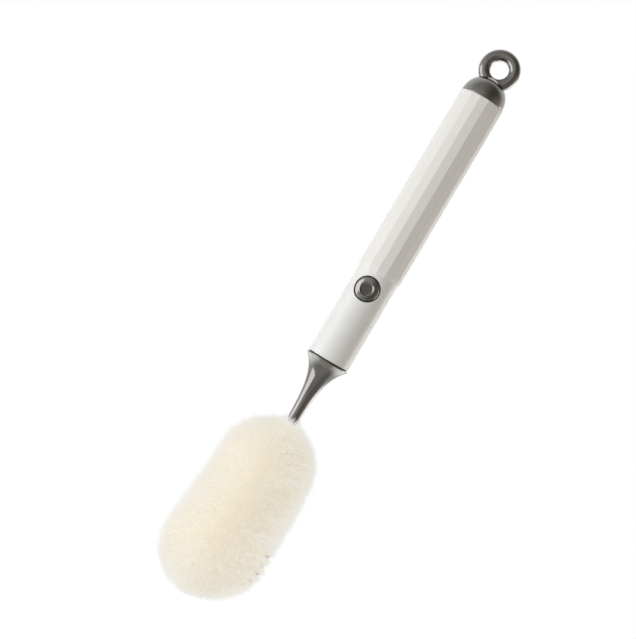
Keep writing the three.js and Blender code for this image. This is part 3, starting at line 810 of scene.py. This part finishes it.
def spread_over_skin(count):
    """Depths and angles of filaments spread evenly over the skin, gathered a little into rows."""
    depth, radius = head_outline()
    step = np.hypot(np.diff(depth), np.diff(radius))
    middle = (radius[1:] + radius[:-1]) / 2
    share = step * (middle + POLE_EXTRA * np.exp(-middle / POLE_REACH))
    gathered = np.concatenate([[0], np.cumsum(share)])
    order = np.arange(count) + 0.5
    at_depth = np.interp(order / count, gathered / gathered[-1], depth)
    angle = FULL_TURN * ((order * GOLDEN_TURN) % 1)
    phase = FULL_TURN * row_phase(at_depth, angle)
    at_depth = at_depth + BRISTLE_CROWDING * ROW_PITCH / FULL_TURN * np.sin(phase)
    return np.clip(at_depth, POLE_CLEARANCE, HEAD_LENGTH - POLE_CLEARANCE), angle


def filament_reach(rng, at_depth, at_radius, angle):
    """How far each filament's tip stands out of the skin, which filaments are near the partings at
    the head's right-hand side, and which lie in one."""
    fade = np.clip(at_radius / HEAD_TOP_RADIUS, 0, 1)
    tuft = np.sin(at_depth / TUFT_LENGTH + TUFT_LOBES * angle) * np.sin(at_depth / TUFT_SPACING - angle)
    from_right = np.angle(np.exp(1j * (angle - VIEW_TURN)))
    parting = (1 + np.cos(FULL_TURN * (at_depth / ROW_PITCH - PARTED_SKEW * from_right))) / 2
    near = (np.abs(at_depth - PARTED_DEPTH) < PARTED_SPAN) & (np.abs(from_right) < PARTED_WIDTH)
    parted = near & (parting > PARTED_OPEN)
    by_stem = np.exp(-((at_radius - STEM_RADIUS) / STEM_TUFT_WIDTH) ** 2) * (at_depth < HEAD_LENGTH / 2)
    reach = BRISTLE_OVERREACH - BRISTLE_UNEVEN * rng.random(len(angle)) ** BRISTLE_EVENNESS
    reach += (SIDE_REACH + TUFT_UNEVEN * tuft) * fade + STEM_TUFT * by_stem
    reach -= ROW_DEPTH * row_furrow(at_depth, angle) * fade + PARTED_SHORTER * parted
    return reach, near, parted


def strand_lines(rng):
    """Base, tip, sideways bend, direction along the head, reach, parting and depth of every filament."""
    count = BRISTLE_BANDS * BRISTLES_IN_BAND
    depth, radius = head_outline()
    at_depth, angle = spread_over_skin(count)
    at_radius = np.interp(at_depth, depth, radius)
    further = np.interp(at_depth + SLOPE_REACH, depth, radius)
    slope = further - np.interp(at_depth - SLOPE_REACH, depth, radius)
    out = unit(np.stack([np.full(count, 2 * SLOPE_REACH), slope], 1))
    round_way = np.stack([np.cos(angle), np.sin(angle), np.zeros(count)], 1)
    side = np.stack([-np.sin(angle), np.cos(angle), np.zeros(count)], 1)
    normal = out[:, :1] * round_way + out[:, 1:] * up_way
    along = np.cross(normal, side)
    skin = at_radius[:, None] * round_way + (head_top - at_depth)[:, None] * up_way
    skin += lean(at_depth)[:, None] * lean_way
    reach, straight, parted = filament_reach(rng, at_depth, at_radius, angle)
    splay = np.where(straight, STRAIGHT_SPLAY, BRISTLE_SPLAY)[:, None] * rng.normal(size=(count, 2))
    tip = skin + normal * reach[:, None] + splay[:, :1] * along + splay[:, 1:] * side
    base = skin - normal * BRISTLE_SUNK
    bend = BRISTLE_BEND * rng.normal(size=(count, 2))
    sideways = bend[:, :1] * along + bend[:, 1:] * side
    clear = (at_radius > STEM_CLEARANCE) | (at_depth > HEAD_LENGTH / 2)
    return [each[clear] for each in (base, tip, sideways, along, reach, parted, at_depth)]


def row_shade(row):
    """The shade of a row of the bake map. The last row belongs to the parted filaments."""
    return (row + 0.5) / SHADE_ROWS


def strand_faces():
    """Faces of one filament: a flat foot, walls between its stations and a pointed tip."""
    top = BRISTLE_SIDES * (len(BRISTLE_STATIONS) - 1)
    tip = top + BRISTLE_SIDES
    faces = [tuple(reversed(range(BRISTLE_SIDES)))]
    for low in range(0, top, BRISTLE_SIDES):
        high = low + BRISTLE_SIDES
        for corner in range(BRISTLE_SIDES):
            side = (corner + 1) % BRISTLE_SIDES
            faces.append((low + corner, low + side, high + side, high + corner))
    for corner in range(BRISTLE_SIDES):
        faces.append((top + corner, top + (corner + 1) % BRISTLE_SIDES, tip))
    return faces


def strand_mesh(name, base, tip, sideways, along_head, reach, shade):
    """Closed three-sided filaments, with the attributes that their finish reads and a map to bake it on."""
    count = len(base)
    way = unit(tip - base)
    # The way along the head is turned a little, so that no filament lines up with it.
    first = unit(np.cross(way, along_head + OFF_AXIS))
    second = np.cross(way, first)
    each = BRISTLE_SIDES * len(BRISTLE_STATIONS) + 1
    points = np.empty((count, each, 3))
    share = np.ones(each)
    for row, (at, width) in enumerate(BRISTLE_STATIONS):
        bow = 4 * at * (1 - at)
        middle = base + (tip - base) * at + sideways * bow
        for corner, turn in enumerate(circle(BRISTLE_SIDES)):
            offset = math.cos(turn) * first + math.sin(turn) * second
            points[:, BRISTLE_SIDES * row + corner] = middle + BRISTLE_RADIUS * width * offset
            share[BRISTLE_SIDES * row + corner] = at
    points[:, -1] = tip
    faces = strand_faces()
    corners = np.concatenate([np.array(face) for face in faces])
    starts = np.cumsum([0] + [len(face) for face in faces[:-1]])
    order = np.arange(count)[:, None]
    mesh = bpy.data.meshes.new(name)
    mesh.vertices.add(each * count)
    mesh.vertices.foreach_set("co", (points * MM).ravel())
    mesh.loops.add(len(corners) * count)
    mesh.loops.foreach_set("vertex_index", (corners + each * order).ravel())
    mesh.polygons.add(len(faces) * count)
    mesh.polygons.foreach_set("loop_start", (starts + len(corners) * order).ravel())
    mesh.update(calc_edges=True)
    outward = share * (BRISTLE_SUNK + reach)[:, None] - BRISTLE_SUNK
    fringe = np.clip(1 + outward / FRINGE_DEPTH, 0, 1)
    for attribute, values in (("fringe", fringe.ravel()), ("shade", np.repeat(shade, each))):
        mesh.attributes.new(attribute, "FLOAT", "POINT").data.foreach_set("value", values)
    bake = np.empty((count, len(corners), 2))
    bake[:, :, 0] = fringe[:, corners]
    bake[:, :, 1] = shade[:, None] + (corners % BRISTLE_SIDES - 1) * BAKE_REACH / SHADE_ROWS
    mesh.uv_layers.new(name="OFBake").uv.foreach_set("vector", bake.ravel())
    mesh.shade_smooth()
    return add_object(name, mesh)


def bristles(finish):
    """All filaments, in bands down the head. The shade row before the parted ones stays empty."""
    rng = np.random.default_rng(BRISTLE_SEED)
    *strands, parted, depth = strand_lines(rng)
    row = np.where(parted, SHADE_ROWS - 1, rng.integers(0, SHADE_ROWS - 2, len(depth)))
    shade = row_shade(row)
    order = np.argsort(depth, kind="stable")
    for band, members in enumerate(np.array_split(order, BRISTLE_BANDS)):
        of_band = [each[members] for each in (*strands, shade)]
        piece = strand_mesh(f"bristle_band_{band + 1}", *of_band)
        dress(piece, finish, "brush_head", "cream_bristle", "bristle_fill")


# Finishes

def from_button_axis(finish):
    """Millimetres from the half of the button's axis that is on its own side of the handle."""
    # Only Y is held, at zero on the button's side: X and Z are nowhere as low as -1 metre.
    near_side = finish.vectors("MAXIMUM", finish.place(), (-1, 0, -1))
    aside = finish.vectors("MULTIPLY_ADD", near_side, (1 / MM, 1 / MM, 1 / MM), (0, 0, -button_height))
    return finish.vectors("LENGTH", aside, output="Value")


def white_plastic():
    """Satin moulded plastic with a fine even grain, cooler on the barrel, and painted shade on the wall of
    the button's hole.
    """
    finish = new_finish("white_plastic")
    cloud = finish.noise(size_mm=22, detail=3)
    grain = finish.noise(size_mm=0.22)
    # Painted shade: the wall of the button's hole is coloured dark grey in place of the shadow in the gap.
    gap_edge = button_radius + BUTTON_HOLE_GAP + GAP_SHADE
    clear_of_gap_shade = finish.ease(from_button_axis(finish), gap_edge, gap_edge + GAP_BLEND)
    height = finish.along(finish.place(), up_way / MM)
    on_grip = finish.ease(height, run_out_height - GRIP_RUN_OUT, run_out_height + GRIP_RUN_OUT)
    outside = finish.mixed(on_grip, COOL_PLASTIC, finish.mixed(cloud, WHITE_PLASTIC, WARM_PLASTIC))
    return finish.surface(finish.principled({
        "Base Color": finish.mixed(clear_of_gap_shade, GAP_PAINTED_SHADE, outside),
        "Roughness": 0.27 + 0.06 * grain,
        "Specular IOR Level": 0.3,
        "Normal": finish.bump(grain, depth_mm=0.006),
    }))


def gunmetal_plating():
    """Dark plating over plastic, polished, with a faint mottle from the bath, and painted shade on the
    floor of the button's dish.
    """
    finish = new_finish("gunmetal_plating")
    mottle = finish.noise(size_mm=6, detail=3)
    haze = finish.noise(size_mm=0.5)
    # Painted shade: the dish floor is coloured darker in place of the shade in the recess.
    outside = finish.ease(from_button_axis(finish), DISH_FLOOR_RADIUS - DISH_BLEND, DISH_FLOOR_RADIUS)
    plating = finish.mixed(mottle, GUNMETAL, GUNMETAL_DEEP)
    return finish.surface(finish.principled({
        "Base Color": finish.mixed(outside, DISH_PAINTED_SHADE, plating),
        "Metallic": 1.0,
        "Roughness": 0.12 + 0.04 * mottle + 0.02 * haze,
        "Normal": finish.bump(mottle, depth_mm=0.01),
    }))


def inner_plastic():
    """Grey moulding of the plug, the sleeve and the plunger, with a coarse spark-eroded grain."""
    finish = new_finish("inner_plastic")
    grain = finish.noise(size_mm=0.35, detail=3)
    cloud = finish.noise(size_mm=9)
    paler = scaled(INNER_GREY, 1.18)
    return finish.surface(finish.principled({
        "Base Color": finish.mixed(cloud, INNER_GREY, paler),
        "Roughness": 0.5 + 0.12 * grain,
        "Normal": finish.bump(grain, depth_mm=0.012),
    }))


def black_rubber():
    """Rubber with a faint grey bloom."""
    finish = new_finish("black_rubber")
    bloom = finish.noise(size_mm=1.2, detail=3)
    greyer = scaled(RUBBER_BLACK, 2.2)
    return finish.surface(finish.principled({
        "Base Color": finish.mixed(bloom, RUBBER_BLACK, greyer),
        "Roughness": 0.45 + 0.15 * bloom,
    }))


def drawn_steel():
    """Drawn wire: fine scratches along it."""
    finish = new_finish("drawn_steel")
    scratch = finish.noise(size_mm=0.3, stretch=(1, 1, 14))
    darker = scaled(STEEL, 0.8)
    return finish.surface(finish.principled({
        "Base Color": finish.mixed(scratch, STEEL, darker),
        "Metallic": 1.0,
        "Roughness": 0.22 + 0.14 * scratch,
        "Normal": finish.bump(scratch, depth_mm=0.004),
    }))


def bristle_strand():
    """One filament: cream where it is packed with others, paler and clearer out in the fringe. Part of each
    colour is a painted glow, more of it at the tips, in place of light scattered between filaments;
    filaments in the partings get painted shade.
    """
    finish = new_finish("bristle_strand")
    fringe = finish.node("ShaderNodeAttribute", {"attribute_name": "fringe"}, output="Fac")
    shade = finish.node("ShaderNodeAttribute", {"attribute_name": "shade"}, output="Fac")
    share = (fringe + SHADE_VARIETY * (shade - 0.5)).at_least(0).at_most(1)
    # Painted shade: filaments in the partings get a grey colour and a dim glow in place of the shade
    # between tufts.
    parted = finish.ease(shade, row_shade(SHADE_ROWS - 2), row_shade(SHADE_ROWS - 1))
    matt = finish.mixed(share, scaled(BRISTLE_ROOT, ROOT_MATT), scaled(BRISTLE_TIP, TIP_MATT))
    glow = finish.mixed(share, scaled(BRISTLE_ROOT, ROOT_PAINTED_GLOW), scaled(BRISTLE_TIP, TIP_PAINTED_GLOW))
    return finish.surface(finish.principled({
        "Base Color": finish.mixed(parted, matt, scaled(BRISTLE_GAP_PAINTED_SHADE, TIP_MATT)),
        "Roughness": 0.62 - 0.1 * fringe,
        # Painted glow: emission in place of light scattered between filaments, dimmer in the partings
        "Emission Color": finish.mixed(parted, glow, scaled(BRISTLE_GAP_PAINTED_SHADE, TIP_PAINTED_GLOW)),
        "Emission Strength": 1.0,
    }))


def bristle_depth():
    """Packed filaments below the tips, seen between them, with a painted glow in place of the light
    scattered among them.
    """
    finish = new_finish("bristle_depth")
    packed = finish.noise(size_mm=0.4)
    cloud = finish.noise(size_mm=7)
    share = 0.5 * packed + 0.5 * cloud
    deeper = scaled(BRISTLE_ROOT, DEPTH_SHADE)
    return finish.surface(finish.principled({
        "Base Color": finish.mixed(share, scaled(BRISTLE_ROOT, ROOT_MATT), scaled(deeper, ROOT_MATT)),
        "Roughness": 0.8,
        "Normal": finish.bump(packed, depth_mm=0.15),
        # Painted glow: emission in place of light scattered among the packed filaments
        "Emission Color": finish.mixed(share, scaled(BRISTLE_ROOT, ROOT_PAINTED_GLOW), scaled(deeper, ROOT_PAINTED_GLOW)),
        "Emission Strength": 1.0,
    }))


# Camera and studio

def facing(position, across, up, back):
    """Where a camera or lamp stands and how it is turned, from its own three axes."""
    turn = Matrix((across, up, back)).transposed().to_4x4()
    return Matrix.Translation(Vector(position * MM)) @ turn


def camera():
    lens = bpy.data.cameras.new("camera")
    half_angle = math.atan(IMAGE_HIGH * PIXEL / 2 / VIEW_DISTANCE)
    lens.lens = lens.sensor_width / 2 / math.tan(half_angle)
    made = add_object("camera", lens)
    made.matrix_world = facing(aim + VIEW_DISTANCE * to_camera, image_right, image_up, to_camera)
    bpy.context.scene.camera = made


def softbox(name, position, size, radiance, tint=(1, 1, 1), lights=True, gleams=True):
    """A lamp that faces the brush, upright in the picture. It lights matt faces, gleams in glossy
    ones, or does both."""
    width, tall = size
    lamp = bpy.data.lights.new(name, "AREA")
    lamp.shape = "RECTANGLE"
    lamp.size = width * MM
    lamp.size_y = tall * MM
    lamp.energy = radiance * math.pi * width * tall * MM ** 2
    lamp.color = tint
    made = add_object(name, lamp)
    way = unit(position)
    across = unit(np.cross(image_up, way))
    made.matrix_world = facing(aim + position, across, np.cross(way, across), way)
    made.visible_camera = False
    made.visible_diffuse = lights
    made.visible_glossy = gleams


def lamps():
    """Key and fill for matt faces, a tall streak for glossy ones, and a rim from behind for both."""

    def lamp_way(angle, right):
        return math.sin(angle) * right + math.cos(angle) * to_camera

    key = KEY_DISTANCE * lamp_way(KEY_ANGLE, image_right) + KEY_LIFT * image_up
    streak = STREAK_DISTANCE * lamp_way(STREAK_ANGLE, image_right) + STREAK_LIFT * image_up
    rim = RIM_DISTANCE * lamp_way(RIM_ANGLE, right_way)
    fill = FILL_DISTANCE * lamp_way(FILL_ANGLE, right_way)
    softbox("key", key, (KEY_WIDTH, KEY_TALL), KEY_RADIANCE, gleams=False)
    softbox("streak", streak, (STREAK_WIDTH, STREAK_TALL), STREAK_RADIANCE, lights=False)
    softbox("rim", rim, (RIM_SIZE, RIM_SIZE), RIM_RADIANCE, RIM_TINT)
    softbox("fill", fill, (FILL_WIDTH, FILL_TALL), FILL_RADIANCE, gleams=False)


def studio_world():
    """White behind the brush, and a dimmer room on the camera's side, darker and warmer to the right."""
    finish = Finish(bpy.data.worlds.new("studio"))
    way = finish.node("ShaderNodeTexCoord", output="Generated")
    camera_ray = finish.seen_by("Camera")
    glossy_ray = finish.seen_by("Glossy")
    through_ray = finish.seen_by("Transmission")
    backdrop_way = -math.cos(BACKDROP_TURN) * to_camera - math.sin(BACKDROP_TURN) * right_way
    behind = finish.ease(finish.along(way, backdrop_way), BACKDROP_FROM, BACKDROP_FULL)
    aside = finish.along(way, right_way)
    upward = finish.ease(finish.along(way, up_way), 0, TOP_FULL)
    dark = ROOM_DARK + (ROOM_DARK_GLEAM - ROOM_DARK) * glossy_ray
    room = dark + (ROOM_BRIGHT - dark) * finish.ease(aside, ROOM_DARK_FROM, ROOM_BRIGHT_FROM)
    room = room + ROOM_LIFT * finish.ease(aside, ROOM_LIFT_FROM, 1)
    room = room * (1 - (TOP_LOSS + TOP_GLEAM_LOSS * glossy_ray) * upward)
    backdrop = BACKDROP_LIGHT + (BACKDROP_GLEAM - BACKDROP_LIGHT) * (glossy_ray + through_ray)
    level = room * (1 - behind) + backdrop * behind
    strength = level * (1 - camera_ray) + camera_ray
    right_side = finish.mixed(glossy_ray, ROOM_RIGHT, ROOM_RIGHT_GLEAM)
    to_right = 0.5 + 0.5 * aside
    tint = finish.mixed(to_right * (1 - behind) * (1 - camera_ray), ROOM_LEFT, right_side)
    background = finish.node("ShaderNodeBackground", None, {"Color": tint, "Strength": strength})
    bpy.context.scene.world = finish.surface(background)


def floor():
    """Pale paper under the brush, white to the camera, with a painted glow of light and shade that only
    glossy faces see.
    """
    half = FLOOR_SIZE / 2
    height = head_tip - FLOOR_DROP
    corners = [(-half, -half, height), (half, -half, height), (half, half, height), (-half, half, height)]
    made = new_piece("floor", corners, [(0, 1, 2, 3)])
    finish = new_finish("floor_paper")
    paper = finish.principled({"Base Color": FLOOR_PAPER, "Roughness": 0.9})
    camera_ray = finish.seen_by("Camera")
    reflected = finish.seen_by("Glossy") + finish.seen_by("Transmission")
    place = finish.place()
    forward = finish.along(place, to_camera / MM)
    aside = finish.along(place, right_way / MM)
    behind = finish.ease(forward, FRONT_REACH, BACK_REACH)
    front = FRONT_GLEAM - FRONT_SHADE * finish.ease(aside, SHADE_FROM, SHADE_FULL)
    along = (forward + POOL_BEHIND) * (1 / POOL_LONG)
    across = aside * (1 / POOL_WIDE)
    pool = finish.ease(along * along + across * across, POOL_EDGE, POOL_CORE)
    # Painted light: a dim front, shaded at the right, and a bright pool behind, glowing only for glossy
    # rays
    gleam = front * (1 - behind) + FLOOR_GLEAM * behind + POOL_GLEAM * pool
    level = FLOOR_WHITE * camera_ray + gleam * reflected
    glow = finish.node("ShaderNodeEmission", None, {"Strength": level})
    share = FLOOR_GLOW * (camera_ray + reflected).at_most(1)
    seen = finish.node("ShaderNodeMixShader", None, {0: share, 1: paper, 2: glow})
    made.data.materials.append(finish.surface(seen))


camera()
studio_world()
floor()
lamps()
bpy.context.scene.view_settings.view_transform = "Standard"

white = white_plastic()
gunmetal = gunmetal_plating()
grey = inner_plastic()
rubber = black_rubber()
steel = drawn_steel()
handle_shell(white)
button_cap(gunmetal)
end_cap(gunmetal)
hang_ring(gunmetal)
neck(gunmetal)
joint_seal(rubber)
bristle_core(bristle_depth())
bristles(bristle_strand())
cad_finishes = {
    "socket_sleeve": grey,
    "button_plunger": grey,
    "head_plug": grey,
    "cap_seal": rubber,
    "latch_clip": steel,
    "ring_screw": steel,
    "wire_core": steel,
}
for node, finish in cad_finishes.items():
    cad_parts[node].data.materials.clear()
    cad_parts[node].data.materials.append(finish)
